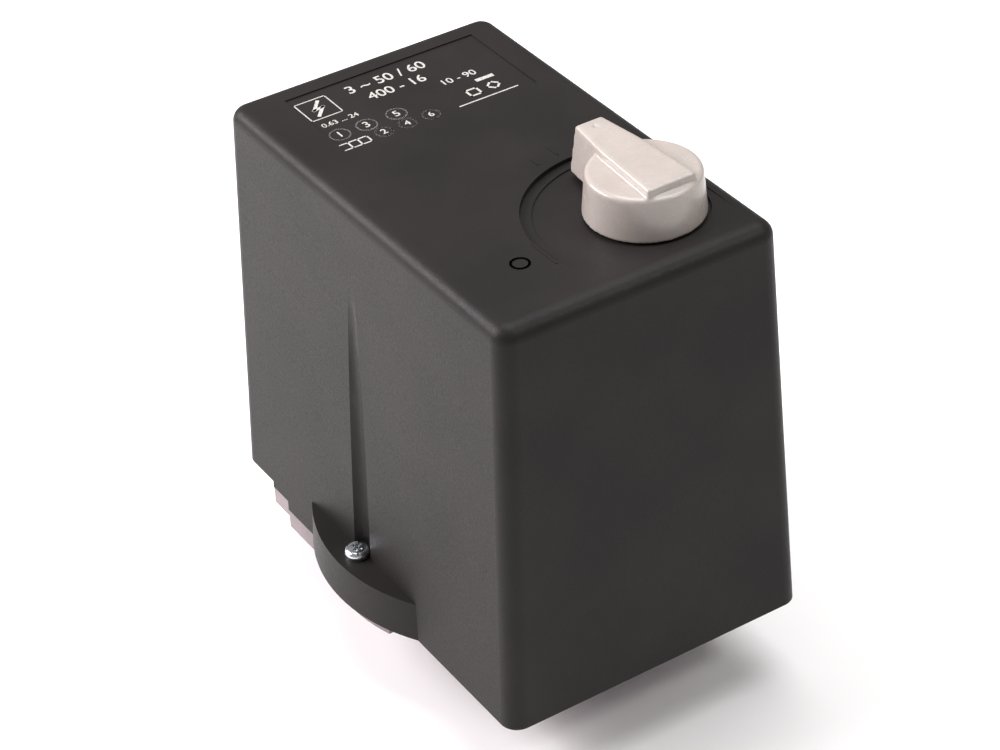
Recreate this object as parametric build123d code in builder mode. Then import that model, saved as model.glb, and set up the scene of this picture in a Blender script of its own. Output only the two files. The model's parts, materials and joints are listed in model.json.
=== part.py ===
"""Pressure-operated motor protection breaker with a tall screwed-on hood and a rotary on/off knob.

Own frame, in millimetres: the origin is the centre of the pressure port's mouth, +Z is up, +Y is
towards the cable glands, and the knob stands near the front end of the hood.
"""
import os

from build123d import *

os.makedirs("parts", exist_ok=True)

# ---- driving dimensions -------------------------------------------------------------------
FIT = 0.05  # radial running clearance of a shaft in its hole
GAP = 0.3  # free gap between faces of pieces that move apart

# hood
RIM_Z = 28.0
HOOD_H = 135.5
TOP_Z = RIM_Z + HOOD_H
HOOD_Y = -4.2
RIM_W, RIM_L, RIM_CORNER = 104.0, 157.6, 5.6
TOP_W, TOP_L, TOP_CORNER = 92.0, 151.0, 5.5
TOP_FILLET = 4.8
WALL = 2.8
REAR_Y = HOOD_Y + RIM_L / 2
LUG_R, LUG_TOP_R, LUG_H = 60.8, 60.0, 13.2
LUG_SCREW_X = 53.2
GROOVE_R, GROOVE_TOP_R, GROOVE_TOP_Z = 5.0, 6.2, RIM_Z + 116.0
LEDGE_Z, LEDGE_T, LEDGE_W = 35.0, 3.0, 2.6

# knob and dial, on the hood's top
KNOB_X, KNOB_Y = 20.4, HOOD_Y - 46.9
KNOB_R, KNOB_TOP_R = 17.7, 16.6
KNOB_DISC_H, KNOB_BAR_H = 12.9, 15.5
KNOB_SINK = 0.5
STEM_R, STEM_Z = 6.5, TOP_Z - 17.8
DIAL_R, DIAL_STEP_R, DIAL_STEP = 35.1, 31.8, 0.35
DIAL_DEPTH, DIAL_FADE, DIAL_MARGIN = 1.5, 14.0, 5.2
HUB_Z = TOP_Z - WALL - 9
LABEL_X, LABEL_Y, LABEL_DEPTH = (-31.0, 35.0), (25.4, 62.2), 0.4
SEAT_R, SEAT_DEPTH = 18.7, 1.2

# base
FLOOR_Z, TRAY_BOTTOM_Z, CURB_TOP_Z = 20.0, 15.2, 33.0
TRAY_W = RIM_W - 2 * WALL - 1.4
TRAY_FRONT_Y = HOOD_Y - RIM_L / 2 + WALL + 0.4
TRAY_REAR_Y = 61.8
CURB_T, TRAY_CORNER = 3.0, 3.2
TAPER_Z, FRONT_TAPER, SIDE_TAPER = 24.8, 14.0, 7.0
RIM_STEPS = ((47.0, 3.4), (56.3, 5.6))
SHOULDERS = (((28.9, 47.4), 21.0, -GAP), ((47.4, 56.3), 25.3, 3.4 - GAP))
SHOULDER_X = (TRAY_W / 2 - 2.9, RIM_W / 2 - 0.3)
ENTRY_W, ENTRY_T, ENTRY_TOP_Z = 76.0, 6.0, 46.6
NOTCH_X = (-ENTRY_W / 2 - 0.4, ENTRY_W / 2 + 0.4)
GLAND_X, GLAND_Z, GLAND_THREAD_R = 20.0, 34.0, 9.95

# pressure flange and diaphragm
FLANGE_SIDE, FLANGE_H = 64.0, 13.8
PORT_R, PORT_DEPTH = 9.3, 11.0
FLANGE_SCREW = 25.0
DIAPHRAGM_R = 27.0
PLATE_R, NOSE_R = 18.0, 4.0

# rocker mechanism
CHEEK_X, SHEET = 19.0, 2.0
PIVOT_Y, PIVOT_Z, PIVOT_R = -36.0, 40.0, 2.5
LEVER_Z, LEVER_T = 42.0, 3.0
LEVER_TOP_Z = LEVER_Z + LEVER_T
BRIDGE_Z = 96.0
MAIN_Y, DIFF_Y = 0.0, 24.0

# contact block
POLE_PITCH = 26.0
BLOCK_Y, BLOCK_W, BLOCK_L, BLOCK_Z = 50.0, 80.0, 34.0, 52.0
BLOCK_FLOOR_T, CONTACT_Z, BLOCK_TOP_Z = 6.0, 70.0, 90.0

# breaker module
MODULE_W, MODULE_Y0, MODULE_Y1 = 82.0, -76.0, -44.0
MODULE_Z, MODULE_TOP_Z, MODULE_WALL = 30.0, 100.0, 2.5
MODULE_Y = (MODULE_Y0 + MODULE_Y1) / 2
MODULE_L = MODULE_Y1 - MODULE_Y0
LID_T = 4.0
DIVIDER_X = 4.0
HEATER_X = (-32.0, -18.0, -4.0)
SHAFT_R, SQUARE, SQUARE_Z, CAM_Z = 5.0, 5.8, STEM_Z - 2, 76.0
SHELF_Z, SHELF_T, BAY_Y1 = 66.0, 3.0, KNOB_Y + 13


def block(x, y, z, mode=Mode.ADD):
    """A box given by its (low, high) pair along each axis."""
    centre = ((x[0] + x[1]) / 2, (y[0] + y[1]) / 2, (z[0] + z[1]) / 2)
    with Locations(centre):
        Box(x[1] - x[0], y[1] - y[0], z[1] - z[0], mode=mode)


def rod(x, y, z0, z1, radius, mode=Mode.ADD):
    """An upright cylinder from z0 to z1."""
    with Locations((x, y, (z0 + z1) / 2)):
        Cylinder(radius, z1 - z0, mode=mode)


def cone(x, y, z0, z1, low_r, high_r, mode=Mode.ADD):
    """An upright cone frustum from z0 to z1."""
    with Locations((x, y, (z0 + z1) / 2)):
        Cone(low_r, high_r, z1 - z0, mode=mode)


def rod_y(x, z, y0, y1, radius, mode=Mode.ADD):
    """A cylinder along Y from y0 to y1."""
    with Locations(Location((x, (y0 + y1) / 2, z), (90, 0, 0))):
        Cylinder(radius, y1 - y0, mode=mode)


def rod_x(y, z, x0, x1, radius, mode=Mode.ADD):
    """A cylinder along X from x0 to x1."""
    with Locations(Location(((x0 + x1) / 2, y, z), (0, 90, 0))):
        Cylinder(radius, x1 - x0, mode=mode)


def slotted_screw(x, y, seat_z, head_r, head_h, shank_r, shank_l, up=1):
    """A screw whose head stands on seat_z, pointing down (up=1) or up (up=-1)."""
    head = sorted((seat_z, seat_z + up * head_h))
    shank = sorted((seat_z, seat_z - up * shank_l))
    rod(x, y, head[0], head[1], head_r)
    rod(x, y, shank[0], shank[1], shank_r)
    slot_z = seat_z + up * head_h
    slot_w = 0.22 * head_r
    slot_depth = 0.4 * head_h
    slot = sorted((slot_z, slot_z - up * slot_depth))
    block((x - head_r, x + head_r), (y - slot_w, y + slot_w), slot, Mode.SUBTRACT)


def coil_spring(x, y, z0, z1, mean_r, wire_r, turns):
    """An open coil spring between two heights, its wire ending a wire radius inside them."""
    height = z1 - z0 - 2 * wire_r
    path = Helix(height / turns, height, mean_r, center=(x, y, z0 + wire_r), mode=Mode.PRIVATE)
    start = Plane(path @ 0, z_dir=path % 0)
    with BuildSketch(start) as wire:
        Circle(wire_r)
    sweep(wire.sketch, path=path, is_frenet=True)


# ---- base -----------------------------------------------------------------------------------
def tray_outline(inset):
    """The base's outline: a rectangle with a narrower tongue at the cable entry."""
    rear_y = REAR_Y - WALL - 0.4
    with Locations((0, (TRAY_FRONT_Y + TRAY_REAR_Y) / 2)):
        RectangleRounded(TRAY_W - 2 * inset, TRAY_REAR_Y - TRAY_FRONT_Y - 2 * inset, TRAY_CORNER)
    with Locations((0, (TRAY_REAR_Y - 10 + rear_y) / 2)):
        Rectangle(ENTRY_W - 2 * inset, rear_y - TRAY_REAR_Y + 10 - 2 * inset)


with BuildPart() as base_housing:
    with BuildSketch(Plane.XY.offset(TAPER_Z)):
        with Locations((0, (TRAY_FRONT_Y + TRAY_REAR_Y) / 2)):
            RectangleRounded(TRAY_W, TRAY_REAR_Y - TRAY_FRONT_Y, TRAY_CORNER)
    with BuildSketch(Plane.XY.offset(TRAY_BOTTOM_Z)):
        with Locations((0, (TRAY_FRONT_Y + FRONT_TAPER + TRAY_REAR_Y) / 2)):
            RectangleRounded(TRAY_W - 2 * SIDE_TAPER, TRAY_REAR_Y - TRAY_FRONT_Y - FRONT_TAPER, TRAY_CORNER)
    loft()
    block((-ENTRY_W / 2, ENTRY_W / 2), (TRAY_REAR_Y - 10, REAR_Y - 0.6), (FLOOR_Z - 3, TAPER_Z))
    with BuildSketch(Plane.XY.offset(TAPER_Z)):
        tray_outline(0)
    extrude(amount=CURB_TOP_Z - TAPER_Z)
    with BuildSketch(Plane.XY.offset(FLOOR_Z)):
        tray_outline(CURB_T)
    extrude(amount=CURB_TOP_Z - FLOOR_Z, mode=Mode.SUBTRACT)
    entry_y = REAR_Y - 0.6 - ENTRY_T
    block((-ENTRY_W / 2, ENTRY_W / 2), (entry_y, REAR_Y - 0.6), (FLOOR_Z, ENTRY_TOP_Z))
    for side in (-1, 1):
        shoulder_x = sorted(side * x for x in SHOULDER_X)
        for shoulder_y, low_z, above_rim in SHOULDERS:
            block(shoulder_x, shoulder_y, (low_z, RIM_Z + above_rim))
        rod_y(side * GLAND_X, GLAND_Z, entry_y - 1, REAR_Y, GLAND_THREAD_R + FIT, Mode.SUBTRACT)
    tab_z = 22.4
    with BuildSketch(Plane.XY.offset(tab_z)):
        Circle(LUG_R - 3.6)
        with Locations((0, 0)):
            Rectangle(3 * LUG_R, 36.0, mode=Mode.INTERSECT)
        Rectangle(TRAY_W - 2, 40.0, mode=Mode.SUBTRACT)
    extrude(amount=RIM_Z - GAP - tab_z)
    for side in (-1, 1):
        rod(side * LUG_SCREW_X, 0, tab_z - 1, RIM_Z, 2.0 + FIT, Mode.SUBTRACT)
    rod(0, 0, TRAY_BOTTOM_Z - 1, FLOOR_Z + 1, PLATE_R + GAP, Mode.SUBTRACT)
    for x in (-FLANGE_SCREW, FLANGE_SCREW):
        for y in (-FLANGE_SCREW, FLANGE_SCREW):
            rod(x, y, FLOOR_Z, FLOOR_Z + 6, 4.8)
            rod(x, y, TRAY_BOTTOM_Z - 1, FLOOR_Z + 7, 2.5 + FIT, Mode.SUBTRACT)
    for x in (-12.0, 12.0):
        for y in (-30.0, 36.0):
            rod(x, y, TRAY_BOTTOM_Z + 0.6, FLOOR_Z + 1, 2.0 + FIT, Mode.SUBTRACT)
base_housing.part.label = "base_housing"
export_step(base_housing.part, "parts/base_housing.step")

# ---- pressure connection ----------------------------------------------------------------------
with BuildPart() as pressure_flange:
    with BuildSketch():
        RectangleRounded(FLANGE_SIDE, FLANGE_SIDE, 9)
    extrude(amount=FLANGE_H)
    chamfer(pressure_flange.faces().sort_by(Axis.Z)[0].edges(), 1.2)
    rod(0, 0, -1, PORT_DEPTH + 0.5, PORT_R, Mode.SUBTRACT)
    rod(0, 0, PORT_DEPTH, FLANGE_H + 1, 20.0, Mode.SUBTRACT)
    for x in (-FLANGE_SCREW, FLANGE_SCREW):
        for y in (-FLANGE_SCREW, FLANGE_SCREW):
            rod(x, y, -1, FLANGE_H + 1, 2.7, Mode.SUBTRACT)
            rod(x, y, -1, 5.6, 4.6, Mode.SUBTRACT)
pressure_flange.part.label = "pressure_flange"
export_step(pressure_flange.part, "parts/pressure_flange.step")

with BuildPart() as flange_screws:
    for x in (-FLANGE_SCREW, FLANGE_SCREW):
        for y in (-FLANGE_SCREW, FLANGE_SCREW):
            slotted_screw(x, y, 5.6, 4.25, 4.4, 2.5, 18.0, up=-1)
flange_screws.part.label = "flange_screws"
export_step(flange_screws.part, "parts/flange_screws.step")

with BuildPart() as diaphragm:
    rod(0, 0, FLANGE_H, TRAY_BOTTOM_Z, DIAPHRAGM_R)
diaphragm.part.label = "diaphragm"
export_step(diaphragm.part, "parts/diaphragm.step")

with BuildPart() as pressure_plunger:
    rod(0, 0, TRAY_BOTTOM_Z + 0.1, TRAY_BOTTOM_Z + 2.8, PLATE_R)
    rod(0, 0, TRAY_BOTTOM_Z + 2.8, LEVER_Z - 2.3, NOSE_R)
    cone(0, 0, LEVER_Z - 2.3, LEVER_Z - GAP, NOSE_R, 2.0)
pressure_plunger.part.label = "pressure_plunger"
export_step(pressure_plunger.part, "parts/pressure_plunger.step")

# ---- rocker mechanism -------------------------------------------------------------------------
FRAME_Y0, FRAME_Y1, CHEEK_Y1, CHEEK_TOP_Z = -42.0, 44.0, 31.0, 62.0

with BuildPart() as mechanism_frame:
    block((-CHEEK_X, CHEEK_X), (FRAME_Y0, FRAME_Y1), (FLOOR_Z, FLOOR_Z + SHEET))
    for side in (-1, 1):
        cheek_x = sorted((side * (CHEEK_X - SHEET), side * CHEEK_X))
        block(cheek_x, (FRAME_Y0, CHEEK_Y1), (FLOOR_Z, CHEEK_TOP_Z))
    bends = mechanism_frame.edges().filter_by(Axis.Y).sort_by(Axis.Z)[:2]
    fillet(bends, SHEET * 0.9)
    rod(0, 0, FLOOR_Z - 1, FLOOR_Z + SHEET + 1, NOSE_R + FIT, Mode.SUBTRACT)
    rod_x(PIVOT_Y, PIVOT_Z, -CHEEK_X - 1, CHEEK_X + 1, PIVOT_R + FIT, Mode.SUBTRACT)
    for y in (-8.0, 24.0):
        rod_x(y, CHEEK_TOP_Z - 5, -CHEEK_X - 1, CHEEK_X + 1, 1.55, Mode.SUBTRACT)
    for x in (-12.0, 12.0):
        for y in (-30.0, 36.0):
            rod(x, y, FLOOR_Z - 1, FLOOR_Z + SHEET + 1, 2.2, Mode.SUBTRACT)
mechanism_frame.part.label = "mechanism_frame"
export_step(mechanism_frame.part, "parts/mechanism_frame.step")

with BuildPart() as frame_screws:
    for x in (-12.0, 12.0):
        for y in (-30.0, 36.0):
            slotted_screw(x, y, FLOOR_Z + SHEET, 3.6, 2.6, 2.0, 6.0)
frame_screws.part.label = "frame_screws"
export_step(frame_screws.part, "parts/frame_screws.step")

with BuildPart() as pivot_pin:
    rod_x(PIVOT_Y, PIVOT_Z, -CHEEK_X - 2.5, CHEEK_X + 2.5, PIVOT_R)
    rod_x(PIVOT_Y, PIVOT_Z, CHEEK_X, CHEEK_X + 1.6, PIVOT_R + 1.3)
    chamfer(pivot_pin.edges().filter_by(GeomType.CIRCLE).group_by(Axis.X)[0], 0.5)
pivot_pin.part.label = "pivot_pin"
export_step(pivot_pin.part, "parts/pivot_pin.step")

LEVER_X, LEVER_NOSE_X, LEVER_END_Y = 14.0, 6.0, 54.0

with BuildPart() as rocker_lever:
    with BuildSketch(Plane.XY.offset(LEVER_Z)):
        with BuildLine():
            Polyline(
                (-LEVER_X, PIVOT_Y),
                (LEVER_X, PIVOT_Y),
                (LEVER_X, 31),
                (LEVER_NOSE_X, 40),
                (LEVER_NOSE_X, LEVER_END_Y),
                (-LEVER_NOSE_X, LEVER_END_Y),
                (-LEVER_NOSE_X, 40),
                (-LEVER_X, 31),
                close=True,
            )
        make_face()
    extrude(amount=LEVER_T)
    rod_x(PIVOT_Y, PIVOT_Z, -LEVER_X, LEVER_X, LEVER_TOP_Z - PIVOT_Z)
    rod_x(PIVOT_Y, PIVOT_Z, -LEVER_X - 1, LEVER_X + 1, PIVOT_R + FIT, Mode.SUBTRACT)
    for y, ring_r in ((MAIN_Y, 7.6), (DIFF_Y, 3.6)):
        rod(0, y, LEVER_TOP_Z, LEVER_TOP_Z + 1.2, ring_r)
rocker_lever.part.label = "rocker_lever"
export_step(rocker_lever.part, "parts/rocker_lever.step")

BRIDGE_LEG_X = CHEEK_X - SHEET - 0.1

with BuildPart() as spring_bridge:
    block((-BRIDGE_LEG_X, BRIDGE_LEG_X), (-14, 31), (BRIDGE_Z, BRIDGE_Z + 2.5))
    for side in (-1, 1):
        leg_x = sorted((side * (BRIDGE_LEG_X - SHEET), side * BRIDGE_LEG_X))
        block(leg_x, (-14, 31), (CHEEK_TOP_Z - 11, BRIDGE_Z + 2.5))
    fillet(spring_bridge.edges().filter_by(Axis.Y).sort_by(Axis.Z)[-2:], SHEET * 0.9)
    rod(0, MAIN_Y, BRIDGE_Z - 1, BRIDGE_Z + 3, 3.0 + FIT, Mode.SUBTRACT)
    rod(0, DIFF_Y, BRIDGE_Z - 1, BRIDGE_Z + 3, 2.0 + FIT, Mode.SUBTRACT)
    for y in (-8.0, 24.0):
        rod_x(y, CHEEK_TOP_Z - 5, -CHEEK_X - 1, CHEEK_X + 1, 1.55, Mode.SUBTRACT)
spring_bridge.part.label = "spring_bridge"
export_step(spring_bridge.part, "parts/spring_bridge.step")

with BuildPart() as bridge_screws:
    for side in (-1, 1):
        for y in (-8.0, 24.0):
            seat, tip, top = side * CHEEK_X, side * (CHEEK_X - 4.0), side * (CHEEK_X + 1.8)
            rod_x(y, CHEEK_TOP_Z - 5, min(seat, top), max(seat, top), 2.8)
            rod_x(y, CHEEK_TOP_Z - 5, min(seat, tip), max(seat, tip), 1.5)
bridge_screws.part.label = "bridge_screws"
export_step(bridge_screws.part, "parts/bridge_screws.step")


def spindle(y, radius, low_z, head_r, head_h):
    """A setting spindle: threaded rod, thrust collar under the bridge and hexagon head above it."""
    rod(0, y, low_z, BRIDGE_Z + 12, radius)
    rod(0, y, BRIDGE_Z - 3.2, BRIDGE_Z - 0.2, radius * 1.9)
    with BuildSketch(Plane.XY.offset(BRIDGE_Z + 6)) as hexagon:
        with Locations((0, y)):
            RegularPolygon(head_r, 6)
    extrude(hexagon.sketch, amount=head_h)


NUT_Z, NUT_T = 84.0, 5.0
DIFF_NUT_Z, DIFF_NUT_T = 74.0, 4.0

with BuildPart() as pressure_spindle:
    spindle(MAIN_Y, 3.0, 52.0, 6.0, 6.0)
pressure_spindle.part.label = "pressure_spindle"
export_step(pressure_spindle.part, "parts/pressure_spindle.step")

with BuildPart() as differential_spindle:
    spindle(DIFF_Y, 2.0, 52.0, 4.0, 5.0)
differential_spindle.part.label = "differential_spindle"
export_step(differential_spindle.part, "parts/differential_spindle.step")

with BuildPart() as pressure_nut:
    block((-14.0, 14.0), (-12, 12), (NUT_Z, NUT_Z + NUT_T))
    fillet(pressure_nut.edges().filter_by(Axis.Z), 1.5)
    rod(0, MAIN_Y, NUT_Z - 1.5, NUT_Z, 7.6)
    rod(0, MAIN_Y, NUT_Z - 3, NUT_Z + NUT_T + 1, 3.0 + FIT, Mode.SUBTRACT)
pressure_nut.part.label = "pressure_nut"
export_step(pressure_nut.part, "parts/pressure_nut.step")

with BuildPart() as differential_nut:
    block((-14.0, 14.0), (DIFF_Y - 6, DIFF_Y + 6), (DIFF_NUT_Z, DIFF_NUT_Z + DIFF_NUT_T))
    fillet(differential_nut.edges().filter_by(Axis.Z), 1.0)
    rod(0, DIFF_Y, DIFF_NUT_Z - 1.5, DIFF_NUT_Z, 3.6)
    rod(0, DIFF_Y, DIFF_NUT_Z - 3, DIFF_NUT_Z + DIFF_NUT_T + 1, 2.0 + FIT, Mode.SUBTRACT)
differential_nut.part.label = "differential_nut"
export_step(differential_nut.part, "parts/differential_nut.step")

with BuildPart() as main_spring:
    coil_spring(0, MAIN_Y, LEVER_TOP_Z + GAP / 2, NUT_Z - GAP / 2, 9.2, 1.3, 6)
main_spring.part.label = "main_spring"
export_step(main_spring.part, "parts/main_spring.step")

with BuildPart() as differential_spring:
    coil_spring(0, DIFF_Y, LEVER_TOP_Z + GAP / 2, DIFF_NUT_Z - GAP / 2, 4.9, 0.8, 7)
differential_spring.part.label = "differential_spring"
export_step(differential_spring.part, "parts/differential_spring.step")

# ---- contact block ----------------------------------------------------------------------------
POLE_X = (-POLE_PITCH, 0.0, POLE_PITCH)
BLOCK_Y0, BLOCK_Y1 = BLOCK_Y - BLOCK_L / 2, BLOCK_Y + BLOCK_L / 2
SHELF_L, SCREW_INSET = 12.0, 4.0
STEM_X, STEM_Y, BEAM_Y = 3.0, 2.0, 2.5
STRIP_T, BUTTON_R, BUTTON_T = 1.4, 2.2, 1.2
CONTACT_Y, BAR_END = 6.0, 2.6
BRIDGE_GAP = 0.1
BRIDGE_BAR_Z = CONTACT_Z + STRIP_T + 2 * BUTTON_T + BRIDGE_GAP

with BuildPart() as contact_base:
    block((-BLOCK_W / 2, BLOCK_W / 2), (BLOCK_Y0, BLOCK_Y1), (BLOCK_Z, BLOCK_Z + BLOCK_FLOOR_T))
    for shelf_y in ((BLOCK_Y0, BLOCK_Y0 + SHELF_L), (BLOCK_Y1 - SHELF_L, BLOCK_Y1)):
        block((-BLOCK_W / 2, BLOCK_W / 2), shelf_y, (BLOCK_Z, CONTACT_Z))
        for x in (-BLOCK_W / 2 + 1, -POLE_PITCH / 2, POLE_PITCH / 2, BLOCK_W / 2 - 1):
            block((x - 1, x + 1), shelf_y, (CONTACT_Z, BLOCK_TOP_Z))
    for x in (-37.0, 37.0):
        block((x - 3, x + 3), (BLOCK_Y0 + 2, BLOCK_Y0 + 12), (FLOOR_Z, BLOCK_Z))
    stem_slot_y = (BLOCK_Y - STEM_Y - GAP, BLOCK_Y + STEM_Y + GAP)
    block((-STEM_X - GAP, STEM_X + GAP), stem_slot_y, (BLOCK_Z - 1, 60), Mode.SUBTRACT)
    for x in POLE_X:
        for y in (BLOCK_Y0 + SCREW_INSET, BLOCK_Y1 - SCREW_INSET):
            rod(x, y, CONTACT_Z - 9, CONTACT_Z + 1, 1.8, Mode.SUBTRACT)
contact_base.part.label = "contact_base"
export_step(contact_base.part, "parts/contact_base.step")


def fixed_contacts(end):
    """One fixed contact per pole: a strip on the shelf with a contact button at its inner end."""
    for x in POLE_X:
        strip_y = sorted((BLOCK_Y + end * (CONTACT_Y - BAR_END), BLOCK_Y + end * BLOCK_L / 2))
        block((x - 4.5, x + 4.5), strip_y, (CONTACT_Z, CONTACT_Z + STRIP_T))
        rod(x, BLOCK_Y + end * CONTACT_Y, CONTACT_Z + STRIP_T, CONTACT_Z + STRIP_T + BUTTON_T, BUTTON_R)
        rod(x, BLOCK_Y + end * (BLOCK_L / 2 - SCREW_INSET), CONTACT_Z - 1, CONTACT_Z + 3, 1.8, Mode.SUBTRACT)


with BuildPart() as line_contacts:
    fixed_contacts(1)
line_contacts.part.label = "line_contacts"
export_step(line_contacts.part, "parts/line_contacts.step")

with BuildPart() as load_contacts:
    fixed_contacts(-1)
load_contacts.part.label = "load_contacts"
export_step(load_contacts.part, "parts/load_contacts.step")

with BuildPart() as terminal_screws:
    for x in POLE_X:
        for y in (BLOCK_Y0 + SCREW_INSET, BLOCK_Y1 - SCREW_INSET):
            slotted_screw(x, y, CONTACT_Z + STRIP_T, 3.3, 2.4, 1.75, 9.0)
terminal_screws.part.label = "terminal_screws"
export_step(terminal_screws.part, "parts/terminal_screws.step")

SPRING_Z, CARRIER_TOP_Z = BRIDGE_BAR_Z + 1.6, 86.0

with BuildPart() as contact_carrier:
    beam_y = (BLOCK_Y - BEAM_Y, BLOCK_Y + BEAM_Y)
    block((-STEM_X, STEM_X), (BLOCK_Y - STEM_Y, BLOCK_Y + STEM_Y), (LEVER_TOP_Z + GAP, 62))
    block((-34.0, 34.0), beam_y, (62, BRIDGE_BAR_Z - 1.0))
    block((-34.0, 34.0), beam_y, (CARRIER_TOP_Z - 3, CARRIER_TOP_Z))
    for x in (-POLE_PITCH / 2 - 20, -POLE_PITCH / 2, POLE_PITCH / 2, POLE_PITCH / 2 + 20):
        block((x - 1, x + 1), beam_y, (62, CARRIER_TOP_Z))
contact_carrier.part.label = "contact_carrier"
export_step(contact_carrier.part, "parts/contact_carrier.step")

with BuildPart() as bridge_contacts:
    for x in POLE_X:
        bar_y = (BLOCK_Y - CONTACT_Y - BAR_END, BLOCK_Y + CONTACT_Y + BAR_END)
        block((x - 3, x + 3), bar_y, (BRIDGE_BAR_Z, SPRING_Z))
        for end in (-1, 1):
            rod(x, BLOCK_Y + end * CONTACT_Y, BRIDGE_BAR_Z - BUTTON_T, BRIDGE_BAR_Z, BUTTON_R)
bridge_contacts.part.label = "bridge_contacts"
export_step(bridge_contacts.part, "parts/bridge_contacts.step")

with BuildPart() as contact_springs:
    for x in POLE_X:
        coil_spring(x, BLOCK_Y, SPRING_Z + 0.1, CARRIER_TOP_Z - 3.1, 1.9, 0.35, 4)
contact_springs.part.label = "contact_springs"
export_step(contact_springs.part, "parts/contact_springs.step")

with BuildPart() as arc_cover:
    block((-BLOCK_W / 2, BLOCK_W / 2), (BLOCK_Y - 12, BLOCK_Y + 12), (BLOCK_TOP_Z + 0.1, BLOCK_TOP_Z + 3))
    fillet(arc_cover.edges().filter_by(Axis.Z), 2)
arc_cover.part.label = "arc_cover"
export_step(arc_cover.part, "parts/arc_cover.step")

# ---- cable glands and earth terminal ------------------------------------------------------------
ENTRY_Y = REAR_Y - 0.6
GLAND_BORE_R, SEAL_R, HEX_R = 6.5, 8.6, 13.8


def hexagon_y(x, z, y0, y1):
    """A hexagon prism along Y."""
    with BuildSketch(Plane((x, y0, z), x_dir=(1, 0, 0), z_dir=(0, 1, 0))) as hexagon:
        RegularPolygon(HEX_R, 6)
    extrude(hexagon.sketch, amount=y1 - y0)


for hand, side in (("left", -1), ("right", 1)):
    x = side * GLAND_X
    with BuildPart() as gland_body:
        hexagon_y(x, GLAND_Z, ENTRY_Y, ENTRY_Y + 6)
        chamfer(gland_body.edges().group_by(Axis.Y)[-1], 0.8)
        rod_y(x, GLAND_Z, ENTRY_Y - 14, ENTRY_Y, GLAND_THREAD_R)
        rod_y(x, GLAND_Z, ENTRY_Y + 6, ENTRY_Y + 15, GLAND_THREAD_R)
        rod_y(x, GLAND_Z, ENTRY_Y - 15, ENTRY_Y + 16, GLAND_BORE_R, Mode.SUBTRACT)
        rod_y(x, GLAND_Z, ENTRY_Y + 6, ENTRY_Y + 16, SEAL_R, Mode.SUBTRACT)
    gland_body.part.label = f"{hand}_gland_body"
    export_step(gland_body.part, f"parts/{hand}_gland_body.step")

    with BuildPart() as gland_seal:
        rod_y(x, GLAND_Z, ENTRY_Y + 6, ENTRY_Y + 17, SEAL_R - 0.05)
        rod_y(x, GLAND_Z, ENTRY_Y + 5, ENTRY_Y + 18, GLAND_BORE_R - 1.5, Mode.SUBTRACT)
    gland_seal.part.label = f"{hand}_gland_seal"
    export_step(gland_seal.part, f"parts/{hand}_gland_seal.step")

    with BuildPart() as gland_nut:
        hexagon_y(x, GLAND_Z, ENTRY_Y + 7.5, ENTRY_Y + 18)
        rod_y(x, GLAND_Z, ENTRY_Y + 18, ENTRY_Y + 21, 11.4)
        chamfer(gland_nut.edges().group_by(Axis.Y)[-1], 1.6)
        rod_y(x, GLAND_Z, ENTRY_Y + 6, ENTRY_Y + 18, GLAND_THREAD_R + FIT, Mode.SUBTRACT)
        rod_y(x, GLAND_Z, ENTRY_Y + 17, ENTRY_Y + 22, GLAND_BORE_R, Mode.SUBTRACT)
    gland_nut.part.label = f"{hand}_gland_nut"
    export_step(gland_nut.part, f"parts/{hand}_gland_nut.step")

with BuildPart() as gland_locknuts:
    for x in (-GLAND_X, GLAND_X):
        hexagon_y(x, GLAND_Z, ENTRY_Y - ENTRY_T - 5, ENTRY_Y - ENTRY_T)
        rod_y(x, GLAND_Z, ENTRY_Y - ENTRY_T - 6, ENTRY_Y, GLAND_THREAD_R + FIT, Mode.SUBTRACT)
gland_locknuts.part.label = "gland_locknuts"
export_step(gland_locknuts.part, "parts/gland_locknuts.step")

EARTH_X, EARTH_Y = 33.0, 8.0

with BuildPart() as earth_clamp:
    block((EARTH_X - 5, EARTH_X + 5), (EARTH_Y - 7, EARTH_Y + 7), (FLOOR_Z, FLOOR_Z + 3))
    block((EARTH_X - 5, EARTH_X + 5), (EARTH_Y + 5, EARTH_Y + 7), (FLOOR_Z, FLOOR_Z + 9))
    rod(EARTH_X, EARTH_Y, FLOOR_Z - 1, FLOOR_Z + 4, 2.1, Mode.SUBTRACT)
earth_clamp.part.label = "earth_clamp"
export_step(earth_clamp.part, "parts/earth_clamp.step")

with BuildPart() as earth_screw:
    slotted_screw(EARTH_X, EARTH_Y, FLOOR_Z + 3, 3.8, 2.8, 2.0, 3.0)
earth_screw.part.label = "earth_screw"
export_step(earth_screw.part, "parts/earth_screw.step")

# ---- breaker module -----------------------------------------------------------------------------
MODULE_X = MODULE_W / 2
LID_Z = MODULE_TOP_Z + LID_T
HEATER_Y = MODULE_Y - 4
TRIP_Y, TRIP_Z = MODULE_Y + 6, 88.0
DIAL_X = -20.0
RESET_X, RESET_Y, RESET_POST_Z = 32.0, MODULE_Y - 8, 84.0
STRIP_Y = MODULE_Y1 - 5.0

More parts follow.
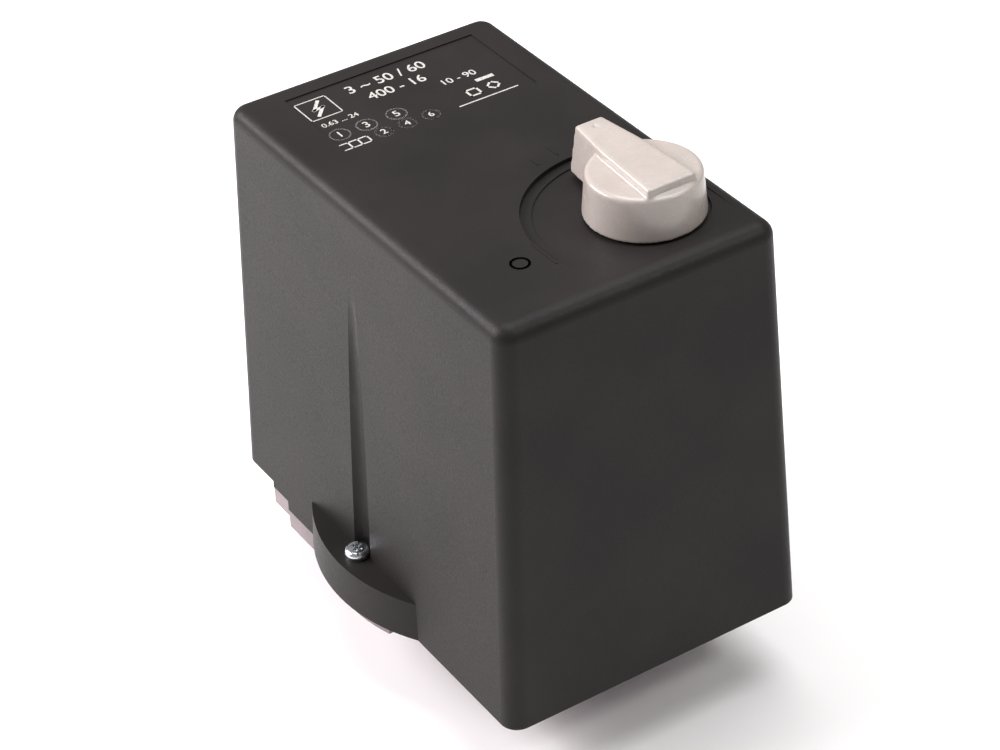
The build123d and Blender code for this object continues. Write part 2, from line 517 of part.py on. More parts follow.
with BuildPart() as breaker_base:
    block((-MODULE_X, MODULE_X), (MODULE_Y0, MODULE_Y1), (MODULE_Z, MODULE_TOP_Z))
    fillet(breaker_base.edges().filter_by(Axis.Z), 2)
    block((DIVIDER_X, MODULE_X), (MODULE_Y1 - 3, BAY_Y1), (SHELF_Z, MODULE_TOP_Z))
    inner_y = (MODULE_Y0 + MODULE_WALL, MODULE_Y1 - MODULE_WALL)
    block((-MODULE_X + MODULE_WALL, DIVIDER_X), inner_y, (MODULE_Z + 3, MODULE_TOP_Z + 1), Mode.SUBTRACT)
    block((DIVIDER_X + 2, MODULE_X - MODULE_WALL), inner_y, (MODULE_Z + 3, MODULE_TOP_Z + 1), Mode.SUBTRACT)
    bay_y = (MODULE_Y1 - MODULE_WALL - 1, BAY_Y1 - MODULE_WALL)
    bay_z = (SHELF_Z + SHELF_T, MODULE_TOP_Z + 1)
    block((DIVIDER_X + 2, MODULE_X - MODULE_WALL), bay_y, bay_z, Mode.SUBTRACT)
    block((DIVIDER_X + 1, MODULE_X - 1), (KNOB_Y - 9, MODULE_Y1 - 1), (SHELF_Z, SHELF_Z + SHELF_T))
    trip_slot_y = (TRIP_Y - 2, TRIP_Y + 2)
    block((DIVIDER_X - 1, DIVIDER_X + 3), trip_slot_y, (TRIP_Z - 1, MODULE_TOP_Z + 1), Mode.SUBTRACT)
    for x in (-36.0, 36.0):
        for y in (MODULE_Y0 + 5, MODULE_Y1 - 5):
            rod(x, y, FLOOR_Z, MODULE_Z, 4.0)
    rod(RESET_X, RESET_Y, MODULE_Z + 2, RESET_POST_Z, 4.0)
    rod(KNOB_X, KNOB_Y, SHELF_Z + 1, CAM_Z - 2, 8.0)
    rod(KNOB_X, KNOB_Y, SHELF_Z + SHELF_T, CAM_Z, SHAFT_R + FIT, Mode.SUBTRACT)
breaker_base.part.label = "breaker_base"
export_step(breaker_base.part, "parts/breaker_base.step")

with BuildPart() as breaker_lid:
    block((-MODULE_X, MODULE_X), (MODULE_Y0, MODULE_Y1), (MODULE_TOP_Z, LID_Z))
    fillet(breaker_lid.edges().filter_by(Axis.Z), 2)
    block((DIVIDER_X, MODULE_X), (MODULE_Y1 - 3, BAY_Y1), (MODULE_TOP_Z, LID_Z))
    chamfer(breaker_lid.faces().sort_by(Axis.Z)[-1].edges(), 0.6)
    rod(KNOB_X, KNOB_Y, MODULE_TOP_Z - 1, LID_Z + 1, SHAFT_R + FIT, Mode.SUBTRACT)
    rod(DIAL_X, MODULE_Y - 4, MODULE_TOP_Z - 1, LID_Z + 1, 3.0 + FIT, Mode.SUBTRACT)
    rod(RESET_X, RESET_Y, MODULE_TOP_Z - 1, LID_Z + 1, 3.5 + FIT, Mode.SUBTRACT)
    for x in HEATER_X:
        rod(x, STRIP_Y, MODULE_TOP_Z - 1, LID_Z + 1, 1.8, Mode.SUBTRACT)
breaker_lid.part.label = "breaker_lid"
export_step(breaker_lid.part, "parts/breaker_lid.step")

with BuildPart() as bimetal_strips:
    for x in HEATER_X:
        block((x - 0.5, x + 0.5), (HEATER_Y - 3.5, HEATER_Y + 3.5), (MODULE_Z + 3, TRIP_Z + 5))
        block((x - 0.5, x + 0.5), (HEATER_Y + 3.5, TRIP_Y - 1.5), (TRIP_Z + 1, TRIP_Z + 5))
bimetal_strips.part.label = "bimetal_strips"
export_step(bimetal_strips.part, "parts/bimetal_strips.step")

with BuildPart() as heater_coils:
    for x in HEATER_X:
        coil_spring(x, HEATER_Y, MODULE_Z + 12, TRIP_Z - 8, 4.9, 0.7, 9)
heater_coils.part.label = "heater_coils"
export_step(heater_coils.part, "parts/heater_coils.step")

with BuildPart() as trip_bar:
    block((-36.0, 9.0), (TRIP_Y - 1.2, TRIP_Y + 1.2), (TRIP_Z, TRIP_Z + 5))
    for x in HEATER_X:
        block((x + 1.0, x + 3.0), (TRIP_Y - 3.5, TRIP_Y), (TRIP_Z, TRIP_Z + 5))
trip_bar.part.label = "trip_bar"
export_step(trip_bar.part, "parts/trip_bar.step")

with BuildPart() as overload_dial:
    rod(DIAL_X, MODULE_Y - 4, LID_Z + GAP, LID_Z + 4.5, 8.5)
    chamfer(overload_dial.faces().sort_by(Axis.Z)[-1].edges(), 0.8)
    rod(DIAL_X, MODULE_Y - 4, MODULE_TOP_Z - 3, LID_Z + GAP, 3.0)
    block((DIAL_X - 8, DIAL_X + 8), (MODULE_Y - 5, MODULE_Y - 3), (LID_Z + 3, LID_Z + 5), Mode.SUBTRACT)
overload_dial.part.label = "overload_dial"
export_step(overload_dial.part, "parts/overload_dial.step")

with BuildPart() as reset_button:
    rod(RESET_X, RESET_Y, MODULE_TOP_Z - 3, LID_Z + 5, 3.5)
    rod(RESET_X, RESET_Y, MODULE_TOP_Z - 5, MODULE_TOP_Z - 3, 4.6)
    fillet(reset_button.faces().sort_by(Axis.Z)[-1].edges(), 0.9)
reset_button.part.label = "reset_button"
export_step(reset_button.part, "parts/reset_button.step")

with BuildPart() as reset_spring:
    coil_spring(RESET_X, RESET_Y, RESET_POST_Z, MODULE_TOP_Z - 5, 3.0, 0.4, 6)
reset_spring.part.label = "reset_spring"
export_step(reset_spring.part, "parts/reset_spring.step")

with BuildPart() as breaker_terminals:
    for x in HEATER_X:
        block((x - 4, x + 4), (STRIP_Y - 4, STRIP_Y + 4), (LID_Z, LID_Z + 1.4))
        rod(x, STRIP_Y, LID_Z - 1, LID_Z + 2, 1.8, Mode.SUBTRACT)
breaker_terminals.part.label = "breaker_terminals"
export_step(breaker_terminals.part, "parts/breaker_terminals.step")

with BuildPart() as breaker_screws:
    for x in HEATER_X:
        slotted_screw(x, STRIP_Y, LID_Z + 1.4, 3.2, 2.4, 1.75, 6.0)
breaker_screws.part.label = "breaker_screws"
export_step(breaker_screws.part, "parts/breaker_screws.step")

with BuildPart() as selector_shaft:
    rod(KNOB_X, KNOB_Y, SHELF_Z + SHELF_T + 0.1, SQUARE_Z, SHAFT_R)
    with Locations((KNOB_X, KNOB_Y, SQUARE_Z + 5)):
        Box(SQUARE, SQUARE, 10)
selector_shaft.part.label = "selector_shaft"
export_step(selector_shaft.part, "parts/selector_shaft.step")

with BuildPart() as switch_cam:
    rod(KNOB_X, KNOB_Y, CAM_Z, CAM_Z + 8, 6.6)
    rod(KNOB_X, KNOB_Y + 3, CAM_Z, CAM_Z + 8, 5.0)
    rod(KNOB_X, KNOB_Y, CAM_Z - 1, CAM_Z + 9, SHAFT_R, Mode.SUBTRACT)
switch_cam.part.label = "switch_cam"
export_step(switch_cam.part, "parts/switch_cam.step")

# ---- hood ---------------------------------------------------------------------------------------
def hood_outline(width, length, corner):
    """A rounded rectangle about the hood's centre."""
    with Locations((0, HOOD_Y)):
        RectangleRounded(width, length, corner)


def pillar(side, wall):
    """The upright channel in the hood's side that guides a screwdriver to the lug's screw."""
    x = side * LUG_SCREW_X
    cone(x, 0, RIM_Z + LUG_H, GROOVE_TOP_Z, GROOVE_R + wall, GROOVE_TOP_R + wall, Mode.SUBTRACT)


with BuildPart() as hood_cavity:
    with BuildSketch(Plane.XY.offset(RIM_Z)):
        hood_outline(RIM_W - 2 * WALL, RIM_L - 2 * WALL, RIM_CORNER - WALL + 0.5)
    with BuildSketch(Plane.XY.offset(TOP_Z - WALL)):
        hood_outline(TOP_W - 2 * WALL, TOP_L - 2 * WALL, TOP_CORNER - WALL)
    loft()
    with BuildSketch(Plane.XY.offset(LEDGE_Z)):
        Rectangle(2 * RIM_W, 2 * RIM_L)
        with Locations((0, HOOD_Y)):
            Rectangle(TRAY_W - 2 * LEDGE_W, RIM_L - 2 * WALL - 2 * LEDGE_W, mode=Mode.SUBTRACT)
    extrude(amount=LEDGE_T, mode=Mode.SUBTRACT)
    for side in (-1, 1):
        pillar(side, WALL)
    rod(KNOB_X, KNOB_Y, TOP_Z - WALL - 2, TOP_Z, DIAL_R + 1, Mode.SUBTRACT)
    rod(KNOB_X, KNOB_Y, HUB_Z, TOP_Z, STEM_R + 3, Mode.SUBTRACT)

# The dial is cut by two steps that share one tilt: deepest behind the pointer's sweep, and running
# out to nothing at the hood's front right corner.
DIAL_TILT = DIAL_DEPTH / (DIAL_R + DIAL_FADE)
TILT_XY = DIAL_TILT * 0.5**0.5

with BuildPart() as dial_cut:
    for radius, step in ((DIAL_R, 0.0), (DIAL_STEP_R, DIAL_STEP)):
        with BuildSketch(Plane.XY.offset(TOP_Z - 4)) as dial_face:
            with Locations((KNOB_X, KNOB_Y)):
                Circle(radius)
            with Locations((0, HOOD_Y)):
                dial_w, dial_l = TOP_W - 2 * DIAL_MARGIN, TOP_L - 2 * DIAL_MARGIN
                RectangleRounded(dial_w, dial_l, TOP_CORNER / 2, mode=Mode.INTERSECT)
        with BuildPart(mode=Mode.PRIVATE) as dial_step:
            extrude(dial_face.sketch, amount=6)
            axis_z = TOP_Z - DIAL_TILT * DIAL_FADE - step
            bottom = Plane((KNOB_X, KNOB_Y, axis_z), z_dir=(-TILT_XY, TILT_XY, 1))
            split(bisect_by=bottom, keep=Keep.TOP)
        add(dial_step.part)

with BuildPart() as hood:
    with BuildSketch(Plane.XY.offset(RIM_Z)):
        hood_outline(RIM_W, RIM_L, RIM_CORNER)
    with BuildSketch(Plane.XY.offset(TOP_Z)):
        hood_outline(TOP_W, TOP_L, TOP_CORNER)
    loft()
    fillet(hood.faces().sort_by(Axis.Z)[-1].edges(), TOP_FILLET)
    cone(0, 0, RIM_Z, RIM_Z + LUG_H, LUG_R, LUG_TOP_R)
    for side in (-1, 1):
        pillar(side, 0)
        rod(side * LUG_SCREW_X, 0, RIM_Z - 1, RIM_Z + LUG_H + 1, 2.2, Mode.SUBTRACT)
    add(hood_cavity.part, mode=Mode.SUBTRACT)
    block(NOTCH_X, (REAR_Y - 20, REAR_Y + 1), (RIM_Z - 1, ENTRY_TOP_Z + 0.4), Mode.SUBTRACT)
    for step_y, step_h in RIM_STEPS:
        block((-RIM_W, RIM_W), (step_y, REAR_Y + 1), (RIM_Z - 1, RIM_Z + step_h), Mode.SUBTRACT)
    rod(KNOB_X, KNOB_Y, TOP_Z - SEAT_DEPTH, TOP_Z + 1, SEAT_R, Mode.SUBTRACT)
    rod(KNOB_X, KNOB_Y, HUB_Z - 1, TOP_Z + 1, STEM_R + FIT, Mode.SUBTRACT)
    add(dial_cut.part, mode=Mode.SUBTRACT)
    block(LABEL_X, LABEL_Y, (TOP_Z - LABEL_DEPTH, TOP_Z + 1), Mode.SUBTRACT)
hood.part.label = "hood"
export_step(hood.part, "parts/hood.step")

with BuildPart() as cover_gasket:
    with BuildSketch(Plane.XY.offset(CURB_TOP_Z)):
        tray_outline(0.3)
    extrude(amount=LEDGE_Z - CURB_TOP_Z - 0.1)
    with BuildSketch(Plane.XY.offset(CURB_TOP_Z - 1)):
        tray_outline(CURB_T)
    extrude(amount=LEDGE_Z - CURB_TOP_Z + 2, mode=Mode.SUBTRACT)
    block(NOTCH_X, (entry_y - 0.4, REAR_Y), (CURB_TOP_Z - 1, LEDGE_Z + 1), Mode.SUBTRACT)
cover_gasket.part.label = "cover_gasket"
export_step(cover_gasket.part, "parts/cover_gasket.step")

with BuildPart() as cover_screws:
    for side in (-1, 1):
        slotted_screw(side * LUG_SCREW_X, 0, RIM_Z + LUG_H, 4.0, 2.8, 2.0, 17.6)
    heads = cover_screws.edges().filter_by(GeomType.CIRCLE).group_by(Axis.Z)[-1]
    fillet(heads, 0.9)
cover_screws.part.label = "cover_screws"
export_step(cover_screws.part, "parts/cover_screws.step")

# ---- knob ---------------------------------------------------------------------------------------
KNOB_Z0 = TOP_Z - KNOB_SINK
POINTER_Z0 = TOP_Z + GAP
POINTER_FLARE = 1.4


def pointer_outline(flare):
    """The pointer bar's tapered outline, widened all round by flare."""
    half = ((4.5 + flare, 27.2 + flare), (6.6 + flare, 11.4), (8.1 + flare, -13.6 - flare))
    right = [(KNOB_X + x, KNOB_Y + y) for x, y in half]
    left = [(KNOB_X - x, KNOB_Y + y) for x, y in reversed(half)]
    with BuildLine() as outline:
        Polyline(*right, *left, close=True)
    return outline.line


with BuildPart() as knob:
    cone(KNOB_X, KNOB_Y, KNOB_Z0, TOP_Z + KNOB_DISC_H, KNOB_R, KNOB_TOP_R)
    fillet(knob.faces().sort_by(Axis.Z)[-1].edges(), 1.3)
    with BuildSketch(Plane.XY.offset(POINTER_Z0)) as pointer_foot:
        make_face(pointer_outline(POINTER_FLARE))
    with BuildSketch(Plane.XY.offset(TOP_Z + KNOB_BAR_H)) as pointer_top:
        make_face(pointer_outline(0))
    loft()
    fillet(knob.faces().sort_by(Axis.Z)[-1].edges(), 0.9)
    rod(KNOB_X, KNOB_Y + 23.4, TOP_Z + KNOB_BAR_H - 0.5, TOP_Z + KNOB_BAR_H + 1, 0.8, Mode.SUBTRACT)
    rod(KNOB_X, KNOB_Y, STEM_Z, KNOB_Z0, STEM_R)
    with Locations((KNOB_X, KNOB_Y, STEM_Z + 4.5)):
        Box(SQUARE + 2 * GAP, SQUARE + 2 * GAP, 9.2, mode=Mode.SUBTRACT)
knob.part.label = "knob"
export_step(knob.part, "parts/knob.step")

with BuildPart() as knob_clip:
    rod(KNOB_X, KNOB_Y, HUB_Z - 1.4, HUB_Z - GAP, STEM_R + 2.4)
    rod(KNOB_X, KNOB_Y, HUB_Z - 2, HUB_Z, STEM_R, Mode.SUBTRACT)
    block((KNOB_X - 2, KNOB_X + 2), (KNOB_Y, KNOB_Y + 12), (HUB_Z - 2, HUB_Z), Mode.SUBTRACT)
knob_clip.part.label = "knob_clip"
export_step(knob_clip.part, "parts/knob_clip.step")

with BuildPart() as knob_washer:
    rod(KNOB_X, KNOB_Y, KNOB_Z0 - 0.5, KNOB_Z0, 15.0)
    rod(KNOB_X, KNOB_Y, KNOB_Z0 - 1, KNOB_Z0 + 1, STEM_R, Mode.SUBTRACT)
knob_washer.part.label = "knob_washer"
export_step(knob_washer.part, "parts/knob_washer.step")
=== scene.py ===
"""Looks of a pressure-operated motor protection breaker: black moulded hood, off-white rotary knob,
die-cast base with cable glands, and the switchgear under the hood. Everything is in metres."""
import json
import math

import bmesh
import bpy
from mathutils import Matrix, Quaternion, Vector


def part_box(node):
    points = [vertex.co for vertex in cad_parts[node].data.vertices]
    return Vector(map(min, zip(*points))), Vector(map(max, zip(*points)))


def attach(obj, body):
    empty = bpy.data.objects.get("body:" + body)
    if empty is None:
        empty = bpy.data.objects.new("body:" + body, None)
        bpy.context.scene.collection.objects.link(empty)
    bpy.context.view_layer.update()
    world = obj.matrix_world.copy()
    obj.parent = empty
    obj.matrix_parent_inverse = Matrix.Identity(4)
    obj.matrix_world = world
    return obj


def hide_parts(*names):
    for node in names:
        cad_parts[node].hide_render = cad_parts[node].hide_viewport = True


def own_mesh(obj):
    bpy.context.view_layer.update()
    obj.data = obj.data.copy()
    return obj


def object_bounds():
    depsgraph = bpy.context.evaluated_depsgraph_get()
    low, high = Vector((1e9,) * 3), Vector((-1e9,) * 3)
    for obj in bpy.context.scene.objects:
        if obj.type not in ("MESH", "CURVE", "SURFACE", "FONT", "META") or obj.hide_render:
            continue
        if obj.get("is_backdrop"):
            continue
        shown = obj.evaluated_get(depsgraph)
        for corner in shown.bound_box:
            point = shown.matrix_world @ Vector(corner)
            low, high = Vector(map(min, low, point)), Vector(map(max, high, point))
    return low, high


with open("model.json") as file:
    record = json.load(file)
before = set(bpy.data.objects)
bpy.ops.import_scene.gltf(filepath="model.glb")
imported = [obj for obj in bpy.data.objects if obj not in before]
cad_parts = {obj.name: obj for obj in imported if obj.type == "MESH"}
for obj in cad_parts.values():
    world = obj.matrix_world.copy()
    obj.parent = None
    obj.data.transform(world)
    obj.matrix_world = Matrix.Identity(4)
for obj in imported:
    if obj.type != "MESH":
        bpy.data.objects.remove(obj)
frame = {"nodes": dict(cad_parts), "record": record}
cad_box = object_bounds()

MM = 0.001
HOOD_LOW, HOOD_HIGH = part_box("hood")
STEM_LOW, STEM_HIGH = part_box("selector_shaft")
HOOD_TOP = HOOD_HIGH.z
HOOD_MID = Vector(((HOOD_LOW.x + HOOD_HIGH.x) / 2, (HOOD_LOW.y + HOOD_HIGH.y) / 2, HOOD_LOW.z))
KNOB_AXIS = Vector(((STEM_LOW.x + STEM_HIGH.x) / 2, (STEM_LOW.y + STEM_HIGH.y) / 2, HOOD_TOP))


# ---- materials ------------------------------------------------------------------------------
def linear(hex_code):
    """An sRGB hex colour as linear RGBA."""
    channels = [int(hex_code[i : i + 2], 16) / 255 for i in (1, 3, 5)]
    return [c / 12.92 if c <= 0.04045 else ((c + 0.055) / 1.055) ** 2.4 for c in channels] + [1.0]


def add_node(tree, kind, inputs=None, **settings):
    """Adds a node with its settings; inputs maps a socket to a value or to another node's output."""
    new = tree.nodes.new(kind)
    for key, value in settings.items():
        setattr(new, key, value)
    for key, value in (inputs or {}).items():
        if isinstance(value, bpy.types.NodeSocket):
            tree.links.new(value, new.inputs[key])
        else:
            new.inputs[key].default_value = value
    return new


def start_material(name, sockets):
    """A material with its Principled shader's sockets set; returns it, its tree, shader and place."""
    material = bpy.data.materials.new(name)
    material.use_nodes = True
    tree = material.node_tree
    shader = tree.nodes["Principled BSDF"]
    for key, value in sockets.items():
        shader.inputs[key].default_value = value
    place = add_node(tree, "ShaderNodeTexCoord").outputs["Object"]
    return material, tree, shader, place


def noise(tree, place, size_mm, detail=2.0):
    """A noise value whose blobs are about size_mm across."""
    sockets = {"Vector": place, "Scale": 1 / (size_mm * MM), "Detail": detail}
    return add_node(tree, "ShaderNodeTexNoise", sockets).outputs[0]


def tint(tree, shader, factor, low_hex, high_hex, low=0.35, high=0.65):
    """Colours the shader from one hex colour to the other as factor rises from low to high."""
    ramp = add_node(tree, "ShaderNodeValToRGB", {0: factor})
    for element, place, code in zip(ramp.color_ramp.elements, (low, high), (low_hex, high_hex)):
        element.position = place
        element.color = linear(code)
    tree.links.new(ramp.outputs[0], shader.inputs["Base Color"])


def vary_roughness(tree, shader, factor, low, high):
    """Lets the roughness run from low to high as a noise value runs over its usual span."""
    sockets = {"Value": factor, "From Min": 0.3, "From Max": 0.7, "To Min": low, "To Max": high}
    spread = add_node(tree, "ShaderNodeMapRange", sockets)
    tree.links.new(spread.outputs["Result"], shader.inputs["Roughness"])


def relief(tree, shader, height, depth_mm, strength=1.0):
    """Raises the surface by height, up to depth_mm."""
    sockets = {"Height": height, "Distance": depth_mm * MM, "Strength": strength}
    bump = add_node(tree, "ShaderNodeBump", sockets)
    tree.links.new(bump.outputs[0], shader.inputs["Normal"])


def glass_filled_polyamide():
    """Black glass-filled nylon from a spark-eroded mould: dull, warm black with a fine sparkling grain."""
    material, tree, shader, place = start_material("glass_filled_polyamide", {"Specular IOR Level": 0.14})
    grain = noise(tree, place, 0.55, 3.0)
    flow = noise(tree, place, 38.0)
    tint(tree, shader, flow, "#201d1d", "#262322")
    vary_roughness(tree, shader, grain, 0.36, 0.52)
    relief(tree, shader, grain, 0.06, 0.75)
    return material


def urea_moulding():
    """Off-white urea resin, polished mould: hard gloss, milky body, faint warm clouding."""
    sockets = {"IOR": 1.55, "Subsurface Weight": 0.05, "Subsurface Scale": 0.002}
    material, tree, shader, place = start_material("urea_moulding", sockets)
    cloud = noise(tree, place, 9.0)
    tint(tree, shader, cloud, "#aba29c", "#b1a8a2")
    vary_roughness(tree, shader, noise(tree, place, 3.0), 0.2, 0.3)
    relief(tree, shader, cloud, 0.02, 0.2)
    return material


def die_cast_aluminium():
    """Aluminium die casting, tumbled: soft grey metal with a peened skin and dull flow marks."""
    material, tree, shader, place = start_material("die_cast_aluminium", {"Metallic": 0.35})
    skin = noise(tree, place, 0.8, 4.0)
    tint(tree, shader, noise(tree, place, 14.0, 4.0), "#82777a", "#93888b")
    vary_roughness(tree, shader, skin, 0.42, 0.6)
    relief(tree, shader, skin, 0.06, 0.6)
    return material


def zinc_plated_steel():
    """Bright zinc plate on turned steel: mirror-grey with fine turning rings and a bluish passivation."""
    material, tree, shader, place = start_material("zinc_plated_steel", {"Metallic": 1.0})
    tint(tree, shader, noise(tree, place, 1.6), "#c3c8cf", "#dfe2e4")
    vary_roughness(tree, shader, noise(tree, place, 0.35), 0.14, 0.3)
    relief(tree, shader, noise(tree, place, 0.25, 3.0), 0.012, 0.5)
    return material


def zinc_plated_sheet():
    """Rolled steel sheet, zinc plated: grey metal with straight rolling lines."""
    material, tree, shader, place = start_material("zinc_plated_sheet", {"Metallic": 1.0})
    stretched = add_node(tree, "ShaderNodeMapping", {"Vector": place, "Scale": (1.0, 0.06, 1.0)})
    lines = noise(tree, stretched.outputs[0], 0.4, 3.0)
    tint(tree, shader, noise(tree, place, 12.0), "#a9acb0", "#bcbfc2")
    vary_roughness(tree, shader, lines, 0.26, 0.42)
    relief(tree, shader, lines, 0.01, 0.6)
    return material


def spring_wire():
    """Patented spring wire, oiled: dark grey metal with drawing marks."""
    material, tree, shader, place = start_material("spring_wire", {"Metallic": 1.0})
    tint(tree, shader, noise(tree, place, 2.5), "#63635f", "#7d7c78")
    vary_roughness(tree, shader, noise(tree, place, 0.5), 0.25, 0.4)
    return material


def phenolic_moulding():
    """Black phenolic moulding, wood-flour filled: brownish black, half gloss, slight mottling."""
    material, tree, shader, place = start_material("phenolic_moulding", {"IOR": 1.58})
    tint(tree, shader, noise(tree, place, 1.8, 4.0), "#211d1a", "#2d2622")
    vary_roughness(tree, shader, noise(tree, place, 4.0), 0.3, 0.45)
    relief(tree, shader, noise(tree, place, 0.6, 3.0), 0.02, 0.4)
    return material


def grey_polyamide():
    """Grey nylon moulding: even mid grey, satin, with a light sink-mark waviness."""
    material, tree, shader, place = start_material("grey_polyamide", {"IOR": 1.53})
    tint(tree, shader, noise(tree, place, 16.0), "#8b8e90", "#95989a")
    vary_roughness(tree, shader, noise(tree, place, 0.7), 0.38, 0.5)
    relief(tree, shader, noise(tree, place, 0.7, 3.0), 0.03, 0.4)
    return material


def stamped_brass():
    """Stamped brass with contact wear: warm yellow metal, slightly tarnished in patches."""
    material, tree, shader, place = start_material("stamped_brass", {"Metallic": 1.0})
    tint(tree, shader, noise(tree, place, 3.0, 4.0), "#b08d4c", "#d3b46c")
    vary_roughness(tree, shader, noise(tree, place, 0.6), 0.22, 0.38)
    return material


def moulded_rubber():
    """Black nitrile rubber: matt, very dark, with a dusty bloom."""
    material, tree, shader, place = start_material("moulded_rubber", {"IOR": 1.52})
    tint(tree, shader, noise(tree, place, 2.2, 4.0), "#1a1a1a", "#262625")
    vary_roughness(tree, shader, noise(tree, place, 1.0), 0.65, 0.8)
    relief(tree, shader, noise(tree, place, 0.4, 3.0), 0.02, 0.5)
    return material


def heater_alloy():
    """Resistance alloy strip and wire, heat-tinted: brownish metal with straw and violet patches."""
    material, tree, shader, place = start_material("heater_alloy", {"Metallic": 1.0, "Roughness": 0.35})
    tint(tree, shader, noise(tree, place, 5.0), "#8d7a66", "#7b6f78")
    return material


def coloured_acetal(name, low_hex, high_hex):
    """Dyed acetal for a dial or button: strong even colour, smooth with a waxy gloss."""
    material, tree, shader, place = start_material(name, {"IOR": 1.48, "Coat Weight": 0.1})
    tint(tree, shader, noise(tree, place, 6.0), low_hex, high_hex)
    vary_roughness(tree, shader, noise(tree, place, 1.5), 0.25, 0.34)
    return material


def pad_print_ink():
    """Pad-printed two-part ink: light warm grey film, matt, a little thin in places."""
    material, tree, shader, place = start_material("pad_print_ink", {"IOR": 1.5, "Roughness": 0.55})
    tint(tree, shader, noise(tree, place, 0.5, 3.0), "#8f8c88", "#c9c6c1", 0.3, 0.6)
    return material


FINISHES = {
    "hood_plastic": glass_filled_polyamide(),
    "knob_plastic": urea_moulding(),
    "die_cast_aluminium": die_cast_aluminium(),
    "zinc_steel": zinc_plated_steel(),
    "sheet_steel": zinc_plated_sheet(),
    "spring_steel": spring_wire(),
    "black_phenolic": phenolic_moulding(),
    "grey_polyamide": grey_polyamide(),
    "brass": stamped_brass(),
    "black_rubber": moulded_rubber(),
    "heater_alloy": heater_alloy(),
    "red_plastic": coloured_acetal("red_acetal", "#a3201a", "#b4261f"),
    "blue_plastic": coloured_acetal("blue_acetal", "#1c3f8f", "#2449a0"),
}
PRINT = pad_print_ink()


def finish_cad_nodes():
    """Gives every CAD node the finish of its material slot."""
    for part in frame["record"]["subparts"]:
        mesh = frame["nodes"][part["node"]].data
        mesh.materials.clear()
        mesh.materials.append(FINISHES[part["material_slot"]])


# ---- detail pieces ----------------------------------------------------------------------------
def mesh_piece(name, shape, finish, body):
    """Turns a bmesh into a piece of that finish, riding on a body."""
    mesh = bpy.data.meshes.new(name)
    shape.to_mesh(mesh)
    shape.free()
    mesh.materials.append(finish)
    piece = bpy.data.objects.new(name, mesh)
    bpy.context.scene.collection.objects.link(piece)
    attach(piece, body)
    return piece


def smooth_by_angle(piece, degrees):
    """Shades the piece smooth, but keeps edges sharper than that angle crisp."""
    mesh = piece.data
    mesh.shade_smooth()
    mesh.set_sharp_from_angle(angle=math.radians(degrees))


# ---- marks on the hood's top ------------------------------------------------------------------
# Points are (x, y) in millimetres, from the hood's middle for the print and from the knob's axis
# for the dial's marks.
INK_T = 0.03 * MM
CAPITAL_SHARE = 0.7
INK_SPREAD = 0.012
PANEL_DEPTH = 0.4 * MM
RING_LINE = 0.4
MARK_LINE = 0.7
MARK_SINK, MARK_RISE = 0.05 * MM, 0.15 * MM


def placed(origin, points):
    """Points in millimetres from an origin, as metres in the frame."""
    return [(origin.x + x * MM, origin.y + y * MM) for x, y in points]


def ring_points(centre, radius, steps=40):
    """Points round a circle, the last one on the first."""
    angles = [2 * math.pi * i / steps for i in range(steps + 1)]
    return [(centre[0] + radius * math.cos(a), centre[1] + radius * math.sin(a)) for a in angles]


def outline(left, right, low, high):
    """The corners of an upright rectangle, back to the first."""
    return [(left, high), (right, high), (right, low), (left, low), (left, high)]


def stroke(shape, points, width, z, thickness=INK_T):
    """A line through points, each straight run a thin plate with square ends."""
    for a, b in zip(points, points[1:]):
        a, b = Vector(a), Vector(b)
        along = (b - a).normalized() * width / 2
        across = Vector((-along.y, along.x))
        corners = [a - along + across, a - along - across, b + along - across, b + along + across]
        base = [shape.verts.new((p.x, p.y, z)) for p in corners]
        face = shape.faces.new(base)
        top = bmesh.ops.extrude_face_region(shape, geom=[face])["geom"]
        raised = [v for v in top if isinstance(v, bmesh.types.BMVert)]
        bmesh.ops.translate(shape, verts=raised, vec=(0, 0, thickness))


def digits(shape, text, centre, height, z):
    """Printed numerals of that height, read from the hood's front."""
    curve = bpy.data.curves.new("numerals", "FONT")
    curve.body = text
    curve.size = height / CAPITAL_SHARE
    curve.align_x, curve.align_y = "CENTER", "CENTER"
    curve.extrude = INK_T / 2
    curve.offset = height * INK_SPREAD
    holder = bpy.data.objects.new("numerals", curve)
    bpy.context.scene.collection.objects.link(holder)
    mesh = bpy.data.meshes.new_from_object(holder)
    mesh.transform(Matrix.Translation((centre[0], centre[1], z + INK_T / 2)))
    shape.from_mesh(mesh)
    bpy.data.objects.remove(holder)
    bpy.data.meshes.remove(mesh)


# line width, points: a framed lightning flash; a row of three boxes; a bar, a square and a diamond;
# a rule under them
PANEL_LINES = (
    (0.4, outline(-30.0, -19.6, 51.4, 62.6)),
    (1.1, [(-23.0, 60.8), (-26.4, 56.6), (-23.2, 57.2), (-26.6, 53.2)]),
    (0.5, outline(-31.0, -21.4, 31.4, 34.8)),
    (0.5, [(-27.8, 31.4), (-27.8, 34.8)]),
    (0.5, [(-24.6, 31.4), (-24.6, 34.8)]),
    (1.6, [(22.0, 42.2), (26.6, 42.2)]),
    (0.7, outline(15.4, 19.0, 35.2, 38.8)),
    (0.7, [(22.0, 37.0), (24.2, 39.2), (26.4, 37.0), (24.2, 34.8), (22.0, 37.0)]),
    (0.5, [(9.4, 32.2), (29.6, 32.2)]),
)
# text, centre x, centre y, height
NUMERALS = (
    ("3 ~ 50 / 60", 0.6, 60.4, 4.3),
    ("400 - 16", 0.4, 53.4, 4.1),
    ("0.63 ... 24", -23.0, 47.2, 2.2),
    ("10 - 90", 18.0, 47.0, 3.0),
)
